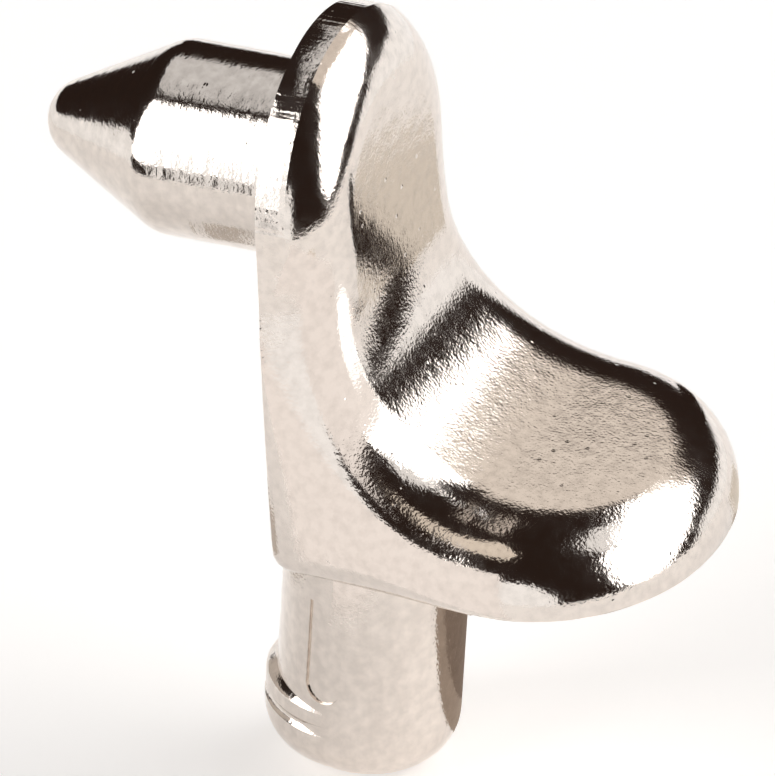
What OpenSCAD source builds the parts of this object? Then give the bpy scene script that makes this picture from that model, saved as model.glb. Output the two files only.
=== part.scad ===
// Shelf support with a locating pin: one zinc die casting, nickel plated.
// The barbed peg is driven into a hole in the cabinet's side. The foot bears on that side, the shelf
// lies on the seat, and the locating pin stands in a hole in the shelf.
// Axes: the wall face is the plane z = 0 and faces -Z, the seat faces +Y, and the part is symmetric about
// x = 0. The origin is the point where the peg's axis leaves the wall face.

/* [Locating pin] */
// Diameter of the straight part
pin_d = 5; // [4:0.1:6]
// Distance of the pin's axis from the wall face
pin_h = 9.25; // [8.8:0.05:12]
// Straight part, from the seat to the shoulder
pin_straight = 4.15; // [2:0.05:8]
// Tapered nose, from the shoulder to its tip
nose_len = 3.5; // [2.6:0.1:6]
// Radius of the rounded tip
nose_r = 1.1; // [0.5:0.1:1.5]
// Blend between the straight part and the nose
shoulder_r = 1.2; // [0.2:0.1:2.5]
// Small fillet between the pin and the seat
root_r = 0.2; // [0.05:0.05:0.5]

/* [Seat plate] */
// Width of the plate, which is also the diameter of its arched end
plate_w = 8.35; // [7.6:0.05:10]
// Thickness of the plate
plate_t = 1.85; // [1.5:0.05:2.2]
// Width of the flat faces at the edge where seat and wall face meet
corner_w = 8.9; // [8:0.1:10.4]
// Rounding of that edge
corner_r = 0.5; // [0.2:0.1:0.9]
// Height of the trimmed land round the arched end
land_h = 0.8; // [0.3:0.05:1.1]

/* [Foot] */
// Reach of the foot, from the seat to its tip
foot_len = 10.4; // [9.2:0.1:13]
// Width of the foot at its widest line
foot_w = 10.8; // [9:0.1:13]
// Thickness of the foot at its widest line
foot_t = 2.4; // [2.1:0.05:3]
// Slope of the foot's top, which thins towards the tip
foot_slope = 8; // [0:0.5:12]
// Length of the rounded tip, beyond the widest line
tip_len = 4.25; // [3.2:0.05:5]
// Inset of the wall face's edge from the widest line
foot_inset = 1.2; // [0.4:0.1:1.6]
// Distance below the pin's axis at which the sides begin to flare
flare_from = 0.7; // [0:0.1:2]

/* [Blends] */
// Radius of the hollow between plate and foot
hollow_r = 4.3; // [3.5:0.1:6]
// Rounding of the front edge, round the arch and the tip
edge_r = 1.85; // [1:0.05:2.1]
// Reach of that rounding onto the top of the foot, along its two sides
flank_reach = 2.7; // [2.1:0.05:3.2]

/* [Wall peg] */
// Diameter of the peg
peg_d = 4.75; // [4:0.05:5.2]
// Length of the peg, along its own axis
peg_len = 7.9; // [6.8:0.1:12]
// Rounding of the peg's end
peg_end_r = 1.3; // [0.5:0.1:2]
// Distance of the peg's axis in front of the seat, at the wall face
peg_setback = 0.9; // [0:0.05:2]
// Lean of the peg towards the seat's side, so that the load wedges it
peg_lean = 7; // [0:0.5:10]
// How far the barbs stand proud at the rear
barb_out = 0.3; // [0.1:0.05:0.5]
// Length of each barb
barb_len = 0.95; // [0.7:0.05:1.8]
// Width of the reliefs along the parting line
relief_w = 1; // [0.5:0.1:1.4]
// Depth of the reliefs
relief_depth = 0.06; // [0.02:0.01:0.12]
// Start of the reliefs, below the wall face
relief_from = 2.4; // [1:0.1:3]
// End of the reliefs, below the wall face
relief_to = 5.4; // [4.5:0.1:6]

/* [Hidden] */
$fn = 96;
arch_steps = 18;
flank_steps = 26;
tip_steps = 20;
wall_steps = 4;
edge_steps = 10;
// How full the wall below the widest line is: 0.55 is a quarter ellipse
wall_fullness = 0.55;

pin_r = pin_d / 2;
arch_r = plate_w / 2;
top_z = pin_h + arch_r;
peg_r = peg_d / 2;

// Lengths along the front surface are measured from the top of the arch: down the plate, round the hollow
// and along the foot.
tip_y = -(foot_len - tip_len);
hollow_y = -plate_t - hollow_r;
hollow_c = [hollow_y, foot_t + tan(foot_slope) * (hollow_y - tip_y) + hollow_r / cos(foot_slope)];
hollow_turn = 90 - foot_slope;
hollow_end = hollow_c + hollow_r * [sin(foot_slope), -cos(foot_slope)];
s_hollow = top_z - hollow_c[1];
s_foot = s_hollow + hollow_r * hollow_turn * PI / 180;
s_tip = s_foot + (hollow_end[0] - tip_y) / cos(foot_slope);
s_end = s_foot + (hollow_end[0] + foot_len) / cos(foot_slope);
s_corner = (s_hollow + s_foot) / 2;

function clamp01(t) = min(1, max(0, t));
function ease(t) = clamp01(t) * clamp01(t) * (3 - 2 * clamp01(t));
function mix(a, b, t) = a + (b - a) * t;
function bezier(a, b, c, d, t) =
    a * pow(1 - t, 3) + b * 3 * t * pow(1 - t, 2) + c * 3 * t * t * (1 - t) + d * pow(t, 3);

// Up to the last module, y is measured from the seat, which is the plane y = 0.
// Side view, as [y, z]: the front surface at length s, and the direction from there into the metal.
function turned(s) = (s - s_hollow) / hollow_r * 180 / PI;
function front(s) =
    s < s_hollow ? [-plate_t, top_z - s] :
    s < s_foot ? hollow_c + hollow_r * inward(s) :
    hollow_end - (s - s_foot) * [cos(foot_slope), sin(foot_slope)];
function inward(s) =
    s < s_hollow ? [1, 0] :
    s < s_foot ? [cos(turned(s)), -sin(turned(s))] :
    [sin(foot_slope), -cos(foot_slope)];

// Thickness from the front surface to the seat, to the wall face or to the rounded edge between them.
function flat_hit(p, d) = min(d[0] > 0.001 ? -p[0] / d[0] : 1000, d[1] < -0.001 ? -p[1] / d[1] : 1000);
function edge_hit(m, d) = -m * d + sqrt(max(0, pow(m * d, 2) - m * m + corner_r * corner_r));
function in_corner(q) = q[0] > -corner_r && q[1] < corner_r;
function thickness(s) =
    let (p = front(s), d = inward(s), t = flat_hit(p, d))
    in_corner(p + d * t) ? edge_hit(p - [-corner_r, corner_r], d) : t;

// A point of the casting, from its length s, its distance x from the middle and its depth below the front.
function spot(s, x, depth) = let (q = front(s) + inward(s) * depth) [x, q[0], q[1]];

// Plan of the widest line, and plan of the edge of the flat faces, as [s, x] at each station.
s_flare = arch_r + flare_from;
function widest(s) = mix(arch_r, foot_w / 2, ease((s - s_flare) / (s_tip - s_flare)));
function flat_edge(s) = mix(arch_r, corner_w / 2, ease((s - arch_r) / (s_corner - arch_r)));
function flank_s(k) = mix(arch_r, s_tip, k / flank_steps);
function tip_arc(k, inset) =
    let (a = 90 * k / tip_steps) [s_tip + (s_end - s_tip - inset) * sin(a), (foot_w / 2 - inset) * cos(a)];
outline = [
    for (k = [0:arch_steps - 1]) let (a = 90 * k / arch_steps) arch_r * [1 - cos(a), sin(a)],
    for (k = [0:flank_steps - 1]) [flank_s(k), widest(flank_s(k))],
    for (k = [0:tip_steps]) tip_arc(k, 0)
];
flats = [
    for (k = [0:arch_steps - 1]) outline[k],
    for (k = [0:flank_steps - 1]) [flank_s(k), flat_edge(flank_s(k))],
    for (k = [0:tip_steps]) tip_arc(k, foot_inset)
];
stations = len(outline);

// Outward normal of the plan at a station.
function normal(k) =
    k == 0 ? [-1, 0] :
    k == stations - 1 ? [1, 0] :
    let (t = outline[k + 1] - outline[k - 1]) [-t[1], t[0]] / norm(t);

// Depth taken by the rounding: all of the wall, less the land on the arch and down to the pin's axis.
function land(s) = land_h * (1 - ease((s - arch_r) / (s_hollow - arch_r)));
function edge_depth(s) = min(edge_r, thickness(s) - land(s));

// Layers of the casting's skin, from the flat faces up the wall and over the rounding to the front.
function wall_point(k, t) =
    let (
        f = flats[k],
        o = outline[k],
        a = spot(f[0], f[1], thickness(f[0])),
        b = spot(o[0], o[1], thickness(o[0])),
        c = spot(o[0], o[1], edge_depth(o[0]))
    ) bezier(a, mix(a, b, wall_fullness), mix(c, b, wall_fullness), c, t);
function edge_reach(k) =
    k < arch_steps + flank_steps ?
        mix(edge_r, flank_reach, ease((outline[k][0] - s_hollow) / (s_foot - s_hollow))) :
        mix(flank_reach, edge_r, ease((k - arch_steps - flank_steps) / tip_steps));
function edge_point(k, t) =
    let (
        o = outline[k],
        h = edge_depth(o[0]),
        r = (edge_r * edge_r + h * h) / (2 * h),
        a = mix(acos(edge_r / r), 90, t),
        inset = edge_r - r * cos(a) + (edge_reach(k) - edge_r) * pow(t, 3),
        q = o - normal(k) * inset
    ) spot(q[0], q[1], r * (1 - sin(a)));
layers = [
    for (j = [0:wall_steps - 1]) [for (k = [0:stations - 1]) wall_point(k, j / wall_steps)],
    for (j = [0:edge_steps]) [for (k = [0:stations - 1]) edge_point(k, j / edge_steps)]
];

function mirrored(p) = [-p[0], p[1], p[2]];
function ring(half) = concat(half, [for (k = [stations - 2:-1:1]) mirrored(half[k])]);

// The arched plate, the hollow and the spoon-shaped foot, lofted as one skin.
module bracket() {
    n = 2 * stations - 2;
    last = (len(layers) - 1) * n;
    skin = [
        for (j = [0:len(layers) - 2]) for (i = [0:n - 1])
            [j * n + i, j * n + (i + 1) % n, (j + 1) * n + (i + 1) % n, (j + 1) * n + i]
    ];
    back = [for (k = [0:stations - 2]) [k, (n - k) % n, n - k - 1, k + 1]];
    face = [for (f = back) [for (i = [3:-1:0]) last + f[i]]];
    points = [for (half = layers) each ring(half)];
    polyhedron(points = points, faces = concat(skin, back, face), convexity = 6);
}

// The locating pin, with its nose tangent to the rounded tip.
nose_c = pin_straight + nose_len - nose_r;
nose_reach = nose_c - pin_straight;
nose_angle = acos(nose_r / norm([pin_r, nose_reach])) - atan2(nose_reach, pin_r);
shoulder_cut = shoulder_r * tan(nose_angle / 2);
module locating_pin() {
    blend = [
        for (k = [0:8]) let (a = nose_angle * k / 8)
            [pin_r - shoulder_r + shoulder_r * cos(a), pin_straight - shoulder_cut + shoulder_r * sin(a)]
    ];
    tip = [
        for (k = [0:12]) let (a = mix(nose_angle, 90, k / 12))
            [nose_r * cos(a), nose_c + nose_r * sin(a)]
    ];
    root = [for (k = [0:6]) let (a = 15 * k) [pin_r + root_r * (1 - sin(a)), root_r * (1 - cos(a))]];
    translate([0, 0, pin_h])
        rotate([-90, 0, 0])
            rotate_extrude()
                polygon(concat([[0, -plate_t / 2], [pin_r + root_r, -plate_t / 2]], root, blend, tip));
}

// Profile of the peg's end, which the core and the last barb share.
peg_end = [
    for (k = [0:12]) let (a = 90 * k / 12)
        [peg_r - peg_end_r + peg_end_r * cos(a), -(peg_len - peg_end_r) - peg_end_r * sin(a)]
];
peg_root = 1.5;
last_barb = peg_len - peg_end_r - barb_len / 3;
first_barb = last_barb - barb_len;
// Share of a barb's length over which it rises, and the groove between the two barbs
barb_rise = 0.45;
groove_depth = barb_out * 0.3;
groove_from = last_barb - barb_len * 0.2;
groove_w = barb_len * 0.35;

// Two rounded barbs behind the peg: the same round section, set back by barb_out, so that they fade
// out at the sides.
module barbs() {
    rise = [
        for (k = [0:8]) let (t = k / 8)
            [peg_r - barb_out * (1 - ease(t)), -first_barb - barb_len * barb_rise * t]
    ];
    groove = [
        for (k = [0:6]) let (t = k / 6)
            [peg_r - groove_depth * sin(180 * t), -groove_from - groove_w * t]
    ];
    translate([0, barb_out, 0])
        rotate_extrude()
            polygon(concat([[0, -first_barb]], rise, groove, peg_end));
}

// Shallow reliefs on both sides of the peg, which keep the parting line's flash below its surface.
module parting_reliefs() {
    for (side = [-1, 1])
        difference() {
            translate([side * peg_r, barb_out, 0])
                rotate([90, 0, 90])
                    linear_extrude(relief_w, center = true) {
                        translate([0, relief_w / 2 - relief_to])
                            circle(d = relief_w);
                        translate([-relief_w / 2, relief_w / 2 - relief_to])
                            square([relief_w, relief_to - relief_from - relief_w / 2]);
                    }
            translate([0, 0, -peg_len])
                cylinder(r = peg_r - relief_depth, h = peg_len);
        }
}

module wall_peg() {
    difference() {
        translate([0, -peg_setback, 0])
            rotate([peg_lean, 0, 0])
                difference() {
                    union() {
                        rotate_extrude()
                            polygon(concat([[0, peg_root], [peg_r, peg_root]], peg_end));
                        barbs();
                    }
                    parting_reliefs();
                }
        translate([-peg_d, 0, 0])
            cube([2 * peg_d, peg_d, 2 * peg_root]);
    }
}

module shelf_support() {
    color("#d9d2cc")
        translate([0, peg_setback, 0]) {
            bracket();
            locating_pin();
            wall_peg();
        }
}

shelf_support();
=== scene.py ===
import math
import bmesh
import bpy
from mathutils import Matrix, Vector


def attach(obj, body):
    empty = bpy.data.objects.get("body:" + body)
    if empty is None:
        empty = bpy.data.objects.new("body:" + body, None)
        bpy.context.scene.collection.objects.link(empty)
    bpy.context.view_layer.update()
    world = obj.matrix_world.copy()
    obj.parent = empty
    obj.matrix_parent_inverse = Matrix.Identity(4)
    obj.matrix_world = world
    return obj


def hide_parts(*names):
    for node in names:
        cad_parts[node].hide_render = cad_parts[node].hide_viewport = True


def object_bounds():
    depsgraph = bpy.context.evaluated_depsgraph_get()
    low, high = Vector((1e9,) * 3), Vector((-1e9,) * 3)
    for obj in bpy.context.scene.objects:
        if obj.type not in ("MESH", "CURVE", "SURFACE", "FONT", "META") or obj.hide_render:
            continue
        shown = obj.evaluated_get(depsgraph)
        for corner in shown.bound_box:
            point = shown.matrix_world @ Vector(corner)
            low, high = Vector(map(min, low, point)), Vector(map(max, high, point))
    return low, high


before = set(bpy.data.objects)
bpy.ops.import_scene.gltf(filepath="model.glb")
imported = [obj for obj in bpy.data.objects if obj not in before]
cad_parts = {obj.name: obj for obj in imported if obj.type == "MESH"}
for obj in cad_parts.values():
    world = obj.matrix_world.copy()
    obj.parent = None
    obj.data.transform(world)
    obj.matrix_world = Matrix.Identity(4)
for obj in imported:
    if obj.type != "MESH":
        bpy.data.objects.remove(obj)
cad_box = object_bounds()

# Camera: a long lens on the left front of the support, a little above it, rolled a few degrees so
# that the wall peg hangs nearly upright in the picture. It shows about 40 pixels to the millimetre.
view_azimuth, view_elevation, view_roll = math.radians(-62.938), math.radians(31.093), math.radians(-3.954)
view_centre = Vector((0, -1.1e-3, 6.0e-3))
view_slide = (0.497e-3, 2.484e-3)
view_distance = 0.4
pixels_per_metre, picture_width = 40017, 775

back = Vector((
    math.sin(view_azimuth) * math.cos(view_elevation),
    -math.cos(view_azimuth) * math.cos(view_elevation),
    math.sin(view_elevation),
))
level = Vector((math.cos(view_azimuth), math.sin(view_azimuth), 0))
upright = back.cross(level)
right = math.cos(view_roll) * level + math.sin(view_roll) * upright
up = math.cos(view_roll) * upright - math.sin(view_roll) * level

lens = bpy.data.cameras.new("camera")
lens.sensor_fit = "HORIZONTAL"
lens.sensor_width = 36
lens.lens = lens.sensor_width * pixels_per_metre * view_distance / picture_width
lens.clip_start = 0.01
camera = bpy.data.objects.new("camera", lens)
camera.matrix_world = Matrix((right, up, back)).transposed().to_4x4()
camera.location = view_centre - view_slide[0] * right - view_slide[1] * up + view_distance * back
bpy.context.scene.collection.objects.link(camera)
bpy.context.scene.camera = camera

# Bracket: the arched plate, the hollow below it and the spoon-shaped foot, die-cast in zinc. They are
# one skin, swept round the part's outline from the flat faces, up the wall and over the rounded front
# edge. Sizes are in millimetres, with y measured from the plate's rear face until the casting is whole.
PIN_HEIGHT = 9.25
PLATE_WIDTH, PLATE_THICKNESS = 8.35, 1.85
CORNER_WIDTH, CORNER_ROUNDING, LAND = 8.9, 0.5, 0.8
FOOT_REACH, FOOT_WIDTH, FOOT_THICKNESS, FOOT_SLOPE = 10.399, 10.8, 2.4, math.radians(8)
TIP_LENGTH, FOOT_INSET, FLARE_FROM = 4.25, 1.2, 0.7
HOLLOW, EDGE_ROUNDING, FLANK_REACH = 4.3, 1.85, 2.7
QUARTER = 0.55  # handle length at which a curve is a quarter of an ellipse
ARCH_STEPS, FLANK_STEPS, TIP_STEPS, WALL_STEPS, EDGE_STEPS = 64, 90, 56, 10, 22

# A place on the front is told by s, the way from the arch's top down the plate, round the hollow and
# out along the foot.
arch = PLATE_WIDTH / 2
top = PIN_HEIGHT + arch
tip_start = TIP_LENGTH - FOOT_REACH
hollow_y = -PLATE_THICKNESS - HOLLOW
hollow_z = FOOT_THICKNESS + math.tan(FOOT_SLOPE) * (hollow_y - tip_start) + HOLLOW / math.cos(FOOT_SLOPE)
hollow_centre = Vector((hollow_y, hollow_z))
hollow_end = hollow_centre + HOLLOW * Vector((math.sin(FOOT_SLOPE), -math.cos(FOOT_SLOPE)))
at_hollow = top - hollow_z
at_foot = at_hollow + HOLLOW * (math.pi / 2 - FOOT_SLOPE)
at_tip = at_foot + (hollow_end.x - tip_start) / math.cos(FOOT_SLOPE)
at_end = at_foot + (hollow_end.x + FOOT_REACH) / math.cos(FOOT_SLOPE)
at_corner = (at_hollow + at_foot) / 2
at_flare = arch + FLARE_FROM


def eased(t):
    t = min(1, max(0, t))
    return t * t * (3 - 2 * t)


def mixed(a, b, t):
    return a + (b - a) * t


def into_metal(s):
    # The direction (y, z) from the front straight into the metal.
    if s < at_hollow:
        return Vector((1, 0))
    turned = min((s - at_hollow) / HOLLOW, math.pi / 2 - FOOT_SLOPE)
    return Vector((math.cos(turned), -math.sin(turned)))


def front_line(s):
    # The place (y, z) on the front, along the middle of the part.
    if s < at_hollow:
        return Vector((-PLATE_THICKNESS, top - s))
    if s < at_foot:
        return hollow_centre + HOLLOW * into_metal(s)
    return hollow_end - (s - at_foot) * Vector((math.cos(FOOT_SLOPE), math.sin(FOOT_SLOPE)))


def thickness(s):
    # How far the metal reaches behind the front, to the rear face, the underside or the corner's rounding.
    p, d = front_line(s), into_metal(s)
    to_rear = -p.x / d.x if d.x > 0.001 else math.inf
    to_underside = -p.y / d.y if d.y < -0.001 else math.inf
    depth = min(to_rear, to_underside)
    hit = p + d * depth
    if hit.x > -CORNER_ROUNDING and hit.y < CORNER_ROUNDING:
        m = p - Vector((-CORNER_ROUNDING, CORNER_ROUNDING))
        along = m.dot(d)
        depth = -along + math.sqrt(max(0, along * along - m.dot(m) + CORNER_ROUNDING ** 2))
    return depth


def spot(s, x, depth):
    p = front_line(s) + into_metal(s) * depth
    return Vector((x, p.x, p.y))


def tip_arc(k, inset):
    # The foot's tip seen from above is a half ellipse, here as (s, half width).
    a = math.pi / 2 * k / TIP_STEPS
    return Vector((at_tip + (at_end - at_tip - inset) * math.sin(a), (FOOT_WIDTH / 2 - inset) * math.cos(a)))


def widest(s):
    return mixed(arch, FOOT_WIDTH / 2, eased((s - at_flare) / (at_tip - at_flare)))


def flat_edge(s):
    return mixed(arch, CORNER_WIDTH / 2, eased((s - arch) / (at_corner - arch)))


outline, flats = [], []
for k in range(ARCH_STEPS):
    a = math.pi / 2 * k / ARCH_STEPS
    outline.append(arch * Vector((1 - math.cos(a), math.sin(a))))
    flats.append(outline[-1].copy())
for k in range(FLANK_STEPS):
    s = mixed(arch, at_tip, k / FLANK_STEPS)
    outline.append(Vector((s, widest(s))))
    flats.append(Vector((s, flat_edge(s))))
for k in range(TIP_STEPS + 1):
    outline.append(tip_arc(k, 0))
    flats.append(tip_arc(k, FOOT_INSET))
stations = len(outline)


def plan_normal(k):
    if k == 0:
        return Vector((-1, 0))
    if k == stations - 1:
        return Vector((1, 0))
    t = (outline[k + 1] - outline[k - 1]).normalized()
    return Vector((-t.y, t.x))


def rounding_depth(s):
    # The front rounding goes as deep as the metal allows, and leaves the straight land round the arch.
    return min(EDGE_ROUNDING, thickness(s) - LAND * (1 - eased((s - arch) / (at_hollow - arch))))


def wall_spot(k, t):
    # The side wall bows out from the flat face's edge to the outline, as a quarter of an ellipse.
    f, o = flats[k], outline[k]
    a, b = spot(f.x, f.y, thickness(f.x)), spot(o.x, o.y, thickness(o.x))
    c = spot(o.x, o.y, rounding_depth(o.x))
    p, q = a.lerp(b, QUARTER), c.lerp(b, QUARTER)
    return a * (1 - t) ** 3 + p * 3 * t * (1 - t) ** 2 + q * 3 * t * t * (1 - t) + c * t ** 3


def rounding_reach(k):
    # The rounding reaches further onto the top of the foot along its two sides.
    if k < ARCH_STEPS + FLANK_STEPS:
        return mixed(EDGE_ROUNDING, FLANK_REACH, eased((outline[k].x - at_hollow) / (at_foot - at_hollow)))
    return mixed(FLANK_REACH, EDGE_ROUNDING, eased((k - ARCH_STEPS - FLANK_STEPS) / TIP_STEPS))


def rounded_spot(k, t):
    # The front rounding, from the outline inwards onto the front.
    o = outline[k]
    h = rounding_depth(o.x)
    r = (EDGE_ROUNDING ** 2 + h * h) / (2 * h)
    a = mixed(math.acos(min(1, EDGE_ROUNDING / r)), math.pi / 2, t)
    inset = EDGE_ROUNDING - r * math.cos(a) + (rounding_reach(k) - EDGE_ROUNDING) * t ** 3
    q = o - plan_normal(k) * inset
    return spot(q.x, q.y, r * (1 - math.sin(a)))


def layer(j):
    # One ring of the skin, round the whole part: the right half and its mirror.
    if j < WALL_STEPS:
        half = [wall_spot(k, j / WALL_STEPS) for k in range(stations)]
    else:
        half = [rounded_spot(k, (j - WALL_STEPS) / EDGE_STEPS) for k in range(stations)]
    return half + [Vector((-p.x, p.y, p.z)) for p in half[-2:0:-1]]


def lay_ring(ring, places):
    for v, place in zip(ring, places):
        v.co = place


def cap(bm, ring):
    # The flat or hollow face between the two sides: one strip of faces from side to side.
    count = len(ring)
    half = count // 2
    rungs = [bm.edges.new((ring[k], ring[count - k])) for k in range(1, half)]
    around = [bm.edges.get((ring[k], ring[(k + 1) % count])) for k in range(count)]
    made = bmesh.ops.edgenet_fill(bm, edges=rungs + around)
    return made["faces"]


bracket = bmesh.new()
ring = bmesh.ops.create_circle(bracket, segments=2 * stations - 2, radius=1)["verts"]
lay_ring(ring, layer(0))
cap(bracket, ring)
for j in range(1, WALL_STEPS + EDGE_STEPS + 1):
    edges = [bracket.edges.get((ring[k], ring[(k + 1) % len(ring)])) for k in range(len(ring))]
    grown = bmesh.ops.extrude_edge_only(bracket, edges=edges)["geom"]
    fresh = {v for v in grown if isinstance(v, bmesh.types.BMVert)}
    ring = [next(e.other_vert(v) for e in v.link_edges if e.other_vert(v) in fresh) for v in ring]
    lay_ring(ring, layer(j))
cap(bracket, ring)
bmesh.ops.recalc_face_normals(bracket, faces=bracket.faces)


def put_in_scene(bm, name):
    mesh = bpy.data.meshes.new(name)
    bm.to_mesh(mesh)
    bm.free()
    piece = bpy.data.objects.new(name, mesh)
    bpy.context.scene.collection.objects.link(piece)
    return piece


casting = put_in_scene(bracket, "casting")

# Locating pin: cast in one with the plate, a straight round zinc pin with a blended shoulder, a tapered
# nose and a rounded tip, that finds the hole in the shelf. It is turned from one half profile.
PIN, PIN_STRAIGHT, NOSE, NOSE_ROUNDING, SHOULDER, ROOT = 2.5, 4.15, 3.5, 1.1, 1.2, 0.2
PIN_BURIED = 0.9  # how far the form goes on inside the plate
ROUND_STEPS, ROOT_STEPS, BARREL_STEPS, SHOULDER_STEPS, TAPER_STEPS, NOSE_STEPS = 144, 6, 12, 10, 10, 14
nose_centre = PIN_STRAIGHT + NOSE - NOSE_ROUNDING
nose_reach = nose_centre - PIN_STRAIGHT
nose_angle = math.acos(NOSE_ROUNDING / math.hypot(PIN, nose_reach)) - math.atan2(nose_reach, PIN)
shoulder_cut = SHOULDER * math.tan(nose_angle / 2)


def turned_piece(profile):
    # The profile is (radius, height) from the axis and back to it, spun round z.
    bm = bmesh.new()
    verts = [bm.verts.new((x, 0, z)) for x, z in profile]
    edges = [bm.edges.new(pair) for pair in zip(verts, verts[1:])]
    bmesh.ops.spin(
        bm, geom=verts + edges, cent=(0, 0, 0), axis=(0, 0, 1), angle=math.tau, steps=ROUND_STEPS,
        use_merge=True
    )
    bmesh.ops.remove_doubles(bm, verts=bm.verts, dist=1e-4)
    bmesh.ops.recalc_face_normals(bm, faces=bm.faces)
    return bm


def arc(centre, radius, start, end, steps):
    angles = [math.radians(mixed(start, end, k / steps)) for k in range(steps + 1)]
    return [(centre[0] + radius * math.cos(a), centre[1] + radius * math.sin(a)) for a in angles]


nose_turn = math.degrees(nose_angle)
straight = PIN_STRAIGHT - shoulder_cut
profile = [(0, -PIN_BURIED), (PIN + ROOT, -PIN_BURIED)]
profile += arc((PIN + ROOT, ROOT), ROOT, 270, 180, ROOT_STEPS)
profile += [(PIN, mixed(ROOT, straight, k / BARREL_STEPS)) for k in range(1, BARREL_STEPS)]
profile += arc((PIN - SHOULDER, straight), SHOULDER, 0, nose_turn, SHOULDER_STEPS)
nose = arc((0, nose_centre), NOSE_ROUNDING, nose_turn, 90, NOSE_STEPS)
(taper_radius, taper_height), (nose_radius, nose_height) = profile[-1], nose[0]
profile += [
    (mixed(taper_radius, nose_radius, k / TAPER_STEPS), mixed(taper_height, nose_height, k / TAPER_STEPS))
    for k in range(1, TAPER_STEPS)
]
profile += nose[:-1] + [(0, nose_centre + NOSE_ROUNDING)]
pin = turned_piece(profile)
bmesh.ops.rotate(pin, verts=pin.verts, cent=(0, 0, 0), matrix=Matrix.Rotation(math.radians(-90), 3, "X"))
bmesh.ops.translate(pin, verts=pin.verts, vec=(0, 0, PIN_HEIGHT))
pin = put_in_scene(pin, "pin")

# Wall peg: cast in one with the foot, a round zinc stub with a rounded end, two soft barbs behind it
# that bite into the cabinet's hole, and a shallow relief on each side where the mould parts.
PEG, PEG_REACH, PEG_END, PEG_SETBACK, PEG_LEAN = 2.375, 7.899, 1.3, 0.9, math.radians(7)
PEG_BURIED = 1.5  # how far the form goes on inside the foot
BARB_OUT, BARB, BARB_RISE = 0.3, 0.95, 0.45
NECK, NECK_FROM, NECK_LENGTH = 0.3, 0.2, 0.35  # the dip between the barbs, as shares of a barb
RELIEF, RELIEF_DEPTH, RELIEF_FROM, RELIEF_TO = 1.0, 0.06, 2.4, 5.4
RELIEF_ACROSS, INNER_LENGTH = 7, 20  # the cutting forms reach well past the peg
PEG_END_STEPS, STEM_STEPS, BARB_STEPS, NECK_STEPS, RELIEF_END_STEPS = 14, 24, 10, 8, 64
last_barb = PEG_REACH - PEG_END - BARB / 3
first_barb = last_barb - BARB
peg_end = arc((PEG - PEG_END, PEG_END - PEG_REACH), PEG_END, 0, -90, PEG_END_STEPS)

profile = [(0, PEG_BURIED)]
profile += [(PEG, mixed(PEG_BURIED, peg_end[0][1], k / STEM_STEPS)) for k in range(STEM_STEPS)]
core = turned_piece(profile + peg_end + [(0, -PEG_REACH)])
profile = [(0, -first_barb)]
for k in range(BARB_STEPS + 1):
    t = k / BARB_STEPS
    profile.append((PEG - BARB_OUT * (1 - eased(t)), -first_barb - BARB * BARB_RISE * t))
for k in range(NECK_STEPS + 1):
    t = k / NECK_STEPS
    neck_radius = PEG - NECK * BARB_OUT * math.sin(math.pi * t)
    profile.append((neck_radius, -last_barb + BARB * (NECK_FROM - NECK_LENGTH * t)))
barbs = turned_piece(profile + peg_end + [(0, -PEG_REACH)])
bmesh.ops.translate(barbs, verts=barbs.verts, vec=(0, BARB_OUT, 0))


def stand_peg(bm):
    bmesh.ops.rotate(bm, verts=bm.verts, cent=(0, 0, 0), matrix=Matrix.Rotation(PEG_LEAN, 3, "X"))
    bmesh.ops.translate(bm, verts=bm.verts, vec=(0, -PEG_SETBACK, 0))
    return bm


peg = put_in_scene(stand_peg(core), "peg")
barbs = put_in_scene(stand_peg(barbs), "barbs")

# The leaning peg would come out of the plate's rear face, so it is cut away there, above the underside.
CLEAR_WIDTH, CLEAR_BACK, CLEAR_HEIGHT = 10, 5, 3
clear = bmesh.new()
bmesh.ops.create_cube(clear, size=1)
bmesh.ops.scale(clear, vec=(CLEAR_WIDTH, CLEAR_BACK, CLEAR_HEIGHT), verts=clear.verts)
bmesh.ops.translate(clear, verts=clear.verts, vec=(0, CLEAR_BACK / 2, CLEAR_HEIGHT / 2))
clear = put_in_scene(clear, "clear")


def combine(target, other, operation):
    cut = target.modifiers.new(operation.lower(), "BOOLEAN")
    cut.operation = operation
    cut.solver = "EXACT"
    cut.object = other
    bpy.context.view_layer.update()
    joined = bpy.data.meshes.new_from_object(target.evaluated_get(bpy.context.evaluated_depsgraph_get()))
    target.modifiers.clear()
    target.data = joined
    bpy.data.objects.remove(other)


# The relief on each side is a slot with a rounded lower end. Its floor is the round form that is left
# inside.
relief_round = RELIEF_TO - RELIEF / 2
relief = bmesh.new()
bmesh.ops.create_cube(relief, size=1)
bmesh.ops.scale(relief, vec=(RELIEF_ACROSS, RELIEF, relief_round - RELIEF_FROM), verts=relief.verts)
bmesh.ops.translate(relief, verts=relief.verts, vec=(0, BARB_OUT, -(RELIEF_FROM + relief_round) / 2))
relief_end = bmesh.new()
bmesh.ops.create_cone(
    relief_end, cap_ends=True, segments=RELIEF_END_STEPS, radius1=RELIEF / 2, radius2=RELIEF / 2,
    depth=RELIEF_ACROSS
)
bmesh.ops.rotate(
    relief_end, verts=relief_end.verts, cent=(0, 0, 0), matrix=Matrix.Rotation(math.radians(90), 3, "Y")
)
bmesh.ops.translate(relief_end, verts=relief_end.verts, vec=(0, BARB_OUT, -relief_round))
relief_floor = PEG - RELIEF_DEPTH
inner = bmesh.new()
bmesh.ops.create_cone(
    inner, cap_ends=True, segments=ROUND_STEPS, radius1=relief_floor, radius2=relief_floor, depth=INNER_LENGTH
)
relief = put_in_scene(stand_peg(relief), "relief")
relief_end = put_in_scene(stand_peg(relief_end), "relief_end")
inner = put_in_scene(stand_peg(inner), "inner")

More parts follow.
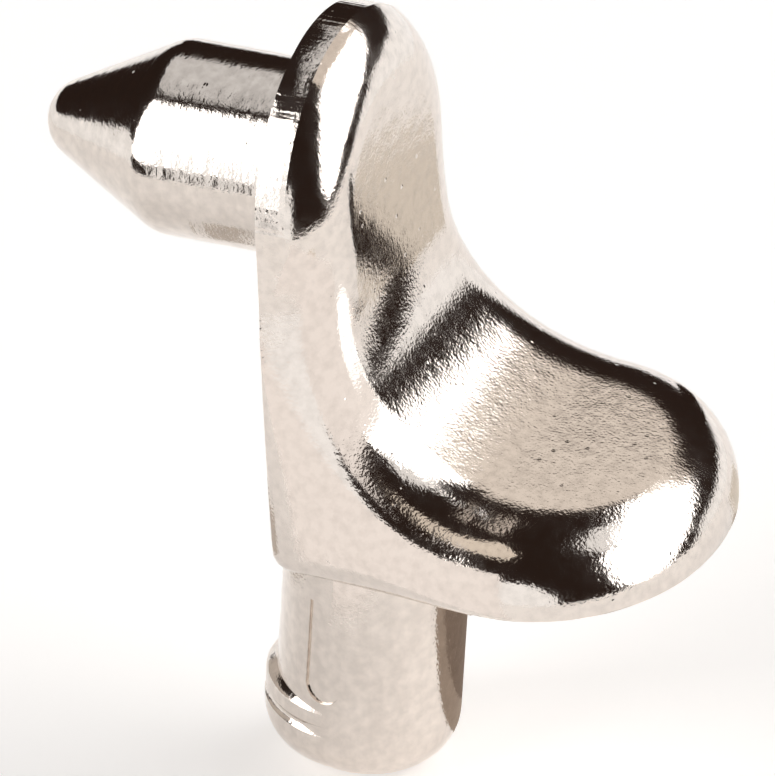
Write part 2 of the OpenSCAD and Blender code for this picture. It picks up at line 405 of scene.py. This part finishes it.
# Casting: the bracket, the pin and the peg come out of the mould as one piece of zinc, so their forms are
# joined into one skin. Then it is moved to its place over the peg and turned from millimetres to metres.
combine(peg, barbs, "UNION")
combine(relief, relief_end, "UNION")
combine(relief, inner, "DIFFERENCE")
combine(peg, relief, "DIFFERENCE")
combine(peg, clear, "DIFFERENCE")
combine(casting, peg, "UNION")
combine(casting, pin, "UNION")
mm = 1e-3
SHARP_FROM = math.radians(32)
whole = bmesh.new()
whole.from_mesh(casting.data)
bmesh.ops.remove_doubles(whole, verts=whole.verts, dist=1e-3)
bmesh.ops.translate(whole, verts=whole.verts, vec=(0, PEG_SETBACK, 0))
bmesh.ops.scale(whole, verts=whole.verts, vec=(mm, mm, mm))
whole.to_mesh(casting.data)
whole.free()
casting.data.shade_smooth()
casting.data.set_sharp_from_angle(angle=SHARP_FROM)
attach(casting, "root")
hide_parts("shelf_support")


def linear(hex_colour):
    # An sRGB hex value as the linear colour that a shader takes.
    channels = [int(hex_colour[k:k + 2], 16) / 255 for k in (1, 3, 5)]
    return [c / 12.92 if c <= 0.04045 else ((c + 0.055) / 1.055) ** 2.4 for c in channels] + [1]


def node(tree, kind, settings, links):
    # A socket is told by its name, or by its number where several share a name.
    made = tree.nodes.new(kind)
    for name, value in settings.items():
        if isinstance(name, int) or name in made.inputs:
            made.inputs[name].default_value = value
        else:
            setattr(made, name, value)
    for name, source in links.items():
        tree.links.new(source, made.inputs[name])
    return made


# Finish: bright nickel, plated over the tumbled zinc casting. It is a warm, pale mirror whose reflections
# are broken by the fine grain of the casting under the plate, and its tint and roughness drift a little
# from place to place. Widths are in millimetres and heights in thousandths of one.
GRAIN_WIDTH, WAVE_WIDTH, DRAWN_WIDTH, HOLE_SPACING, CLOUD_WIDTH = 1 / 12, 1 / 2, 2 / 9, 5 / 11, 5 / 18
GRAIN_HEIGHT, WAVE_HEIGHT, DRAWN_HEIGHT, HOLE_DEPTH, LINE_HEIGHT = 5, 6, 5, 7, 11
POLISHED_GRAIN = 0.55  # the grain that is left on the plate, as a share of the grain lower down
DRAWN_ALONG = 0.12  # the drawn marks' width as a share of their length
HOLE_SHARE = 0.4  # the share of places that have a pin-hole
LINES_ROUND = 24  # cutter lines to the radian
LINE_WANDER = 0.004  # how far the grain moves a cutter line, in radians to the thousandth
STAINED_BY_MARKS = 0.3  # how much of the drawn marks shows in the tint

nickel = bpy.data.materials.new("bright_nickel_plate")
nickel.use_nodes = True
tree = nickel.node_tree
shader = tree.nodes["Principled BSDF"]
shader.inputs["Metallic"].default_value = 1
place = node(tree, "ShaderNodeTexCoord", {}, {}).outputs["Object"]
apart = node(tree, "ShaderNodeSeparateXYZ", {}, {"Vector": place}).outputs

# Grain of the die's surface, a twelfth of a millimetre across. It is stronger in the hollow and on the
# foot, where the tumbling stones polish least.
grain = node(tree, "ShaderNodeTexNoise", {"Scale": 1 / (GRAIN_WIDTH * mm), "Detail": 1}, {"Vector": place})
low_down = {
    "From Min": 8.5 * mm, "From Max": 6.5 * mm,
    "To Min": GRAIN_HEIGHT * POLISHED_GRAIN, "To Max": GRAIN_HEIGHT,
}
low_down = node(tree, "ShaderNodeMapRange", low_down, {"Value": apart["Z"]}).outputs["Result"]
grain = node(
    tree, "ShaderNodeMath", {"operation": "MULTIPLY"}, {0: grain.outputs["Fac"], 1: low_down}
).outputs["Value"]

# Soft waves of the plating, half a millimetre across.
waves = node(tree, "ShaderNodeTexNoise", {"Scale": 1 / (WAVE_WIDTH * mm), "Detail": 1}, {"Vector": place})
height = node(
    tree, "ShaderNodeMath", {"operation": "MULTIPLY_ADD", 1: WAVE_HEIGHT}, {0: waves.outputs["Fac"], 2: grain}
).outputs["Value"]

# Drawn marks: rings round the pin, and lines down the wall peg, about a fifth of a millimetre apart. The
# pin is what lies behind the plate's rear face, and the peg is what lies below the foot.
pin_start = {"From Min": (PEG_SETBACK + 0.02) * mm, "From Max": (PEG_SETBACK + 0.06) * mm}
behind = node(tree, "ShaderNodeMapRange", pin_start, {"Value": apart["Y"]}).outputs["Result"]
peg_start = {"From Min": -0.06 * mm, "From Max": -0.02 * mm, "To Min": 1, "To Max": 0}
on_peg = node(tree, "ShaderNodeMapRange", peg_start, {"Value": apart["Z"]}).outputs["Result"]
above = node(tree, "ShaderNodeMath", {"operation": "SUBTRACT", 0: 1}, {1: on_peg}).outputs["Value"]
on_pin = node(tree, "ShaderNodeMath", {"operation": "MULTIPLY"}, {0: behind, 1: above}).outputs["Value"]
lengths = {"data_type": "VECTOR", 4: (1, 1, DRAWN_ALONG), 5: (DRAWN_ALONG, 1, DRAWN_ALONG)}
lengths = node(tree, "ShaderNodeMix", lengths, {"Factor": on_pin}).outputs[1]
stretched = node(tree, "ShaderNodeVectorMath", {"operation": "MULTIPLY"}, {0: place, 1: lengths})
stretched = stretched.outputs["Vector"]
drawn = {"Scale": 1 / (DRAWN_WIDTH * mm), "Detail": 2}
drawn = node(tree, "ShaderNodeTexNoise", drawn, {"Vector": stretched})
drawn_here = node(tree, "ShaderNodeMath", {"operation": "ADD"}, {0: on_pin, 1: on_peg}).outputs["Value"]
drawn = node(
    tree, "ShaderNodeMath", {"operation": "MULTIPLY"}, {0: drawn.outputs["Fac"], 1: drawn_here}
).outputs["Value"]
height = node(
    tree, "ShaderNodeMath", {"operation": "MULTIPLY_ADD", 1: DRAWN_HEIGHT}, {0: drawn, 2: height}
).outputs["Value"]

# Pin-holes of the casting, about a tenth of a millimetre wide, drawn a little wider than most real ones
# so that they show.
holes = node(tree, "ShaderNodeTexVoronoi", {"Scale": 1 / (HOLE_SPACING * mm)}, {"Vector": place})
wall = {"From Min": 0.03, "From Max": 0.14, "To Min": HOLE_DEPTH, "To Max": 0}
wall = node(tree, "ShaderNodeMapRange", wall, {"Value": holes.outputs["Distance"]}).outputs["Result"]
chance = node(tree, "ShaderNodeSeparateColor", {}, {"Color": holes.outputs["Color"]}).outputs["Red"]
chosen = node(
    tree, "ShaderNodeMath", {"operation": "GREATER_THAN", 1: 1 - HOLE_SHARE}, {0: chance}
).outputs["Value"]
holes = node(tree, "ShaderNodeMath", {"operation": "MULTIPLY"}, {0: wall, 1: chosen}).outputs["Value"]
height = node(tree, "ShaderNodeMath", {"operation": "SUBTRACT"}, {0: height, 1: holes}).outputs["Value"]

# Cutter lines across the narrow land round the arch, about a fifth of a millimetre apart, from where the
# casting's flash was trimmed off.
axis_height = {"operation": "SUBTRACT", 1: PIN_HEIGHT * mm}
over_axis = node(tree, "ShaderNodeMath", axis_height, {0: apart["Z"]}).outputs["Value"]
turn = node(tree, "ShaderNodeMath", {"operation": "ARCTAN2"}, {0: apart["X"], 1: over_axis}).outputs["Value"]
turn = node(
    tree, "ShaderNodeMath", {"operation": "MULTIPLY_ADD", 1: LINE_WANDER}, {0: grain, 2: turn}
).outputs["Value"]
lines = {"noise_dimensions": "1D", "Scale": LINES_ROUND, "Detail": 1}
lines = node(tree, "ShaderNodeTexNoise", lines, {"W": turn}).outputs["Fac"]
from_axis = {"operation": "MULTIPLY_ADD", 1: (1, 0, 1), 2: (0, 0, -PIN_HEIGHT * mm)}
from_axis = node(tree, "ShaderNodeVectorMath", from_axis, {0: place}).outputs["Vector"]
radius = node(tree, "ShaderNodeVectorMath", {"operation": "LENGTH"}, {0: from_axis}).outputs["Value"]
land_front = PEG_SETBACK - LAND
land_edges = (
    ({"From Min": (arch - 0.125) * mm, "From Max": (arch - 0.055) * mm}, radius),
    ({"From Min": 7.6 * mm, "From Max": 9.5 * mm}, apart["Z"]),
    ({"From Min": (land_front - 0.05) * mm, "From Max": (land_front + 0.15) * mm}, apart["Y"]),
)
for edge, measure in land_edges:
    inside = node(tree, "ShaderNodeMapRange", edge, {"Value": measure}).outputs["Result"]
    lines = node(tree, "ShaderNodeMath", {"operation": "MULTIPLY"}, {0: lines, 1: inside}).outputs["Value"]
height = node(
    tree, "ShaderNodeMath", {"operation": "MULTIPLY_ADD", 1: LINE_HEIGHT}, {0: lines, 2: height}
).outputs["Value"]
bump = node(tree, "ShaderNodeBump", {"Strength": 1, "Distance": 0.001 * mm}, {"Height": height})
tree.links.new(bump.outputs["Normal"], shader.inputs["Normal"])

# The plating's haze: clouds a quarter of a millimetre across that are a little duller and darker, also
# along the drawn marks.
cloud = node(tree, "ShaderNodeTexNoise", {"Scale": 1 / (CLOUD_WIDTH * mm), "Detail": 4}, {"Vector": place})
cloud = cloud.outputs["Fac"]
dull = {"From Min": 0.35, "From Max": 0.65, "To Min": 0.09, "To Max": 0.14}
dull = node(tree, "ShaderNodeMapRange", dull, {"Value": cloud}).outputs["Result"]
tree.links.new(dull, shader.inputs["Roughness"])
stain = node(
    tree, "ShaderNodeMath", {"operation": "MULTIPLY_ADD", 1: STAINED_BY_MARKS}, {0: drawn, 2: cloud}
).outputs["Value"]
stain = node(tree, "ShaderNodeMapRange", {"From Min": 0.4, "From Max": 0.8}, {"Value": stain})
stain = stain.outputs["Result"]
tint = {"data_type": "RGBA", 6: linear("#e2d9d1"), 7: linear("#d3cac2")}
tint = node(tree, "ShaderNodeMix", tint, {"Factor": stain}).outputs[2]
tree.links.new(tint, shader.inputs["Base Color"])
casting.data.materials.clear()
casting.data.materials.append(nickel)


# Table: a pale board under the support, inside a wide floor of the same paint that the plating doesn't
# see. Both lie just under the wall peg's end.
def stage_piece(bm, name):
    piece = put_in_scene(bm, name)
    return piece


def plain_paint(name, hex_colour, glow):
    paint = bpy.data.materials.new(name)
    paint.use_nodes = True
    shader = paint.node_tree.nodes["Principled BSDF"]
    shader.inputs["Base Color"].default_value = linear(hex_colour)
    shader.inputs["Roughness"].default_value = 0.9
    shader.inputs["Emission Color"].default_value = (1, 1, 1, 1)
    shader.inputs["Emission Strength"].default_value = glow
    return paint


TABLE_RADIUS, TABLE_SHIFT, FLOOR_RADIUS, BELOW = 62 * mm, 14 * mm, 1500 * mm, 0.01 * mm
floor_paint = plain_paint("pale_table", "#f4f1ee", 0.35)
table_level = cad_box[0][2] - BELOW
table = bmesh.new()
bmesh.ops.create_circle(table, cap_ends=True, segments=96, radius=TABLE_RADIUS)
bmesh.ops.translate(table, verts=table.verts, vec=(TABLE_SHIFT, TABLE_SHIFT, table_level))
table = stage_piece(table, "table")
table.data.materials.append(floor_paint)
floor = bmesh.new()
bmesh.ops.create_circle(floor, cap_ends=True, segments=64, radius=FLOOR_RADIUS)
bmesh.ops.translate(floor, verts=floor.verts, vec=(0, 0, table_level - BELOW))
floor = stage_piece(floor, "floor")
floor.data.materials.append(floor_paint)
floor.visible_glossy = False


# Studio cards: flat sheets that shed their own even light and stand round the support, out of the
# camera's sight. They show in the plating as its white, pale and grey bands.
def lit_sheet(sheet, name, hex_colour, glow):
    bmesh.ops.triangulate(sheet, faces=sheet.faces)
    piece = stage_piece(sheet, name)
    paint = bpy.data.materials.new(name)
    paint.use_nodes = True
    paint.node_tree.nodes.clear()
    light = node(paint.node_tree, "ShaderNodeEmission", {"Color": linear(hex_colour), "Strength": glow}, {})
    node(paint.node_tree, "ShaderNodeOutputMaterial", {}, {"Surface": light.outputs["Emission"]})
    piece.data.materials.append(paint)
    piece.visible_camera = False
    return piece


CARD_DISTANCE = 700 * mm


def card(name, corners, hex_colour, glow):
    # Each corner is told by the azimuth and the elevation at which the support sees it, in degrees: 0 is
    # straight out from the foot, 90 to the right.
    sheet = bmesh.new()
    rim = []
    for azimuth, elevation in corners:
        a, e = math.radians(azimuth), math.radians(elevation)
        towards = Vector((math.sin(a) * math.cos(e), -math.cos(a) * math.cos(e), math.sin(e)))
        rim.append(sheet.verts.new(CARD_DISTANCE * towards))
    sheet.faces.new(rim)
    return lit_sheet(sheet, name, hex_colour, glow)


# The two softboxes are the scene's lamps: the right one also shows as the white bands in the hollow, and
# the left one at the back of the pin.
softbox_right_corners = (
    (-9, 12), (-4, 36), (2, 43), (14, 46), (35, 55), (75, 53), (92, 46), (80, 42.5), (69, 40),
    (65, 35), (63, 28), (58, 24), (46, 15), (36, 6), (26, -4), (16, -14), (5, -16), (-6, -6),
)
card("softbox_right", softbox_right_corners, "#ffffff", 3.5)
# The far end of the table, low in front of the flat underside.
table_end_corners = ((38, -30), (38, -10), (44, 1), (60, 3), (80, 3), (110, 2), (120, -8), (120, -30))
card("table_end", table_end_corners, "#ffffff", 1.15)
# Grey cards over the softbox, for the plate's and the foot's even patches and the pin's top.
grey_above_corners = ((4, 45), (8, 60), (30, 66), (60, 62), (60, 57), (35, 57), (14, 48))
card("grey_card_above", grey_above_corners, "#ffffff", 1.0)
grey_right_corners = (
    (62, 26), (65.5, 33), (68, 40.5), (74, 44), (98, 47), (112, 47), (118, 36), (104, 34), (86, 37), (76, 35),
)
card("grey_card_right", grey_right_corners, "#f6ede3", 1.0)
grey_back_corners = (
    (117, 36), (122, 50), (140, 66), (180, 68.5), (-150, 66.5), (-150, 63), (178, 62), (150, 56), (130, 42),
)
card("grey_card_back", grey_back_corners, "#ffffff", 0.8)
softbox_left_corners = (
    (-150, -5), (-150, 30), (-146, 58), (-130, 56), (-117, 45), (-112, 30), (-109, 0), (-112, -5),
)
card("softbox_left", softbox_left_corners, "#ffffff", 3.5)
# A wide reflector on the camera's side lights the flank and the wall peg evenly.
reflector_corners = ((-118, -40), (-112, 34), (-100, 32), (-80, 28), (-60, 24), (-46, 2), (-44, -40))
card("reflector_left", reflector_corners, "#ffffff", 1.15)
# The table goes on behind.
table_back_corners = ((120, -30), (120, 3), (150, 4), (180, 5), (-165, 5), (-150, 4), (-150, -30))
card("table_back", table_back_corners, "#ffffff", 1.15)


# Small glowing cards and sheets beside the support, seen by the plating only: painted reflections, which put
# light, grey and dark patches into single surfaces.
# They stand so close that each shows in one surface and not in the next that faces the same way. Sizes are in
# millimetres.
def near_card(name, corners, hex_colour, glow):
    sheet = bmesh.new()
    sheet.faces.new([sheet.verts.new(Vector(corner) * mm) for corner in corners])
    piece = lit_sheet(sheet, name, hex_colour, glow)
    piece.visible_diffuse = False
    piece.visible_shadow = False
    return piece


def flat_card(name, level, corners, hex_colour, glow):
    near_card(name, [(x, y, level) for x, y in corners], hex_colour, glow)


def upright_card(name, foot, end, corners, hex_colour, glow):
    # The corners are given as (distance from the foot towards the end, height).
    foot, end = Vector(foot), Vector(end)
    along = (end - foot).normalized()
    near_card(name, [(foot.x + along.x * u, foot.y + along.y * u, z) for u, z in corners], hex_colour, glow)


# Sheets on the table, seen in the plating: painted shadows. A pale beige one for the foot's end stands in for
# the support's own shadow on the table, and a brown one with a lighter edge for the peg stands in for the
# shade on the table under the foot.
SHEET_LEVEL = -7.95
painted_table_shadow_corners = ((14, -5), (28, -10), (30, -14), (26, -18), (12, -8.5))
flat_card("painted_table_shadow", SHEET_LEVEL, painted_table_shadow_corners, "#ebe2d6", 0.95)
flat_card("painted_peg_shadow", SHEET_LEVEL, ((2.2, -9), (14, -9), (14, 3), (3.2, 3)), "#8a7a6e", 1.0)
flat_card("painted_peg_shadow_edge", SHEET_LEVEL, ((0.5, -9), (2.2, -9), (3.2, 3), (1.5, 3)), "#ab9b8d", 1.0)
# Painted reflections: a pale card behind the barbs, the flank's own glowing cards, and a bright strip that
# paints a highlight on the rounding between the flank and the plate.
upright_card("barb_card", (-6, 8), (2, 8), ((0, -5.2), (8, -5.2), (8, -2.5), (0, -2.5)), "#eee4da", 0.7)
flank_card_corners = ((0, 5), (4.5, 4.85), (5.8, 4.85), (5.8, 5.25), (4.6, 5.3), (4.5, 7), (0, 7))
upright_card("flank_card", (-7.5, -3.0), (-3.0, -3.0), flank_card_corners, "#fffaf7", 1.1)
upright_card("side_card", (-9, -6), (-9, 5), ((0, -7), (11, -7), (11, 4.6), (0, 4.6)), "#fffaf7", 1.1)
painted_flank_highlight_corners = ((0.2, 4.95), (1.9, 4.95), (1.9, 5.5), (1.5, 5.85), (0.9, 5.95), (0.2, 5.7))
upright_card("painted_flank_highlight", (-2.91, -4.06), (-1.03, -3.38), painted_flank_highlight_corners, "#ffffff", 1.9)
# A dark sheet paints the dark reflection along the edge of the hollow and the foot, and a pale card paints a
# light reflection in the middle of the dark rim.
painted_hollow_dark_corners = (
    (4.17, 1.13), (4.78, 0.65), (5.73, 0.44), (5.71, 1.11), (4.86, 2.06), (4.26, 2.67), (3.59, 3.28),
    (2.81, 3.89), (1.61, 4.51), (0.3, 5.19), (-0.05, 4.79), (0.92, 3.71), (2.24, 3.02), (2.5, 1.88),
    (3.58, 1.4),
)
upright_card("painted_hollow_dark", (5.52, -9.82), (8.39, -5.72), painted_hollow_dark_corners, "#2b201b", 1.0)
rim_card_corners = ((-6.3, -3.6), (-6.4, -5.9), (-5.3, -6.3), (-4.5, -5.3), (-5.2, -3.6))
flat_card("rim_card", 5, rim_card_corners, "#f2e7d9", 1.0)
# Over the arch: a dark sheet paints the dark reflection on the crown of the land, and a beige card paints a
# light reflection on the rounding in front of it.
painted_land_dark_corners = ((0, 14.9), (1.9, 15.4), (4.9, 15.4), (7.4, 15.0), (7.4, 17.0), (0, 17.0))
upright_card("painted_land_dark", (-4.9, 2.2), (2.5, 2.2), painted_land_dark_corners, "#2b201b", 1.0)
arch_card_corners = ((0, 15.2), (1.6, 15.6), (2.9, 15.9), (4.9, 16.1), (6.9, 16.4), (6.9, 22), (0, 22))
upright_card("arch_card", (-1.9, -2.5), (5, -2.5), arch_card_corners, "#efe4d9", 0.9)

# Surround: a pale ball of paper round the studio that only the camera sees. What the plating sees between
# the cards is the dark room.
surround = bmesh.new()
bmesh.ops.create_icosphere(surround, subdivisions=4, radius=2000 * mm)
surround = stage_piece(surround, "surround")
surround.data.materials.append(plain_paint("pale_surround", "#ffffff", 1))
surround.visible_glossy = False
surround.visible_diffuse = False
surround.visible_shadow = False

world = bpy.data.worlds.new("studio")
world.use_nodes = True
world.node_tree.nodes["Background"].inputs["Color"].default_value = linear("#2b201b")
bpy.context.scene.world = world
bpy.context.scene.view_settings.view_transform = "Standard"
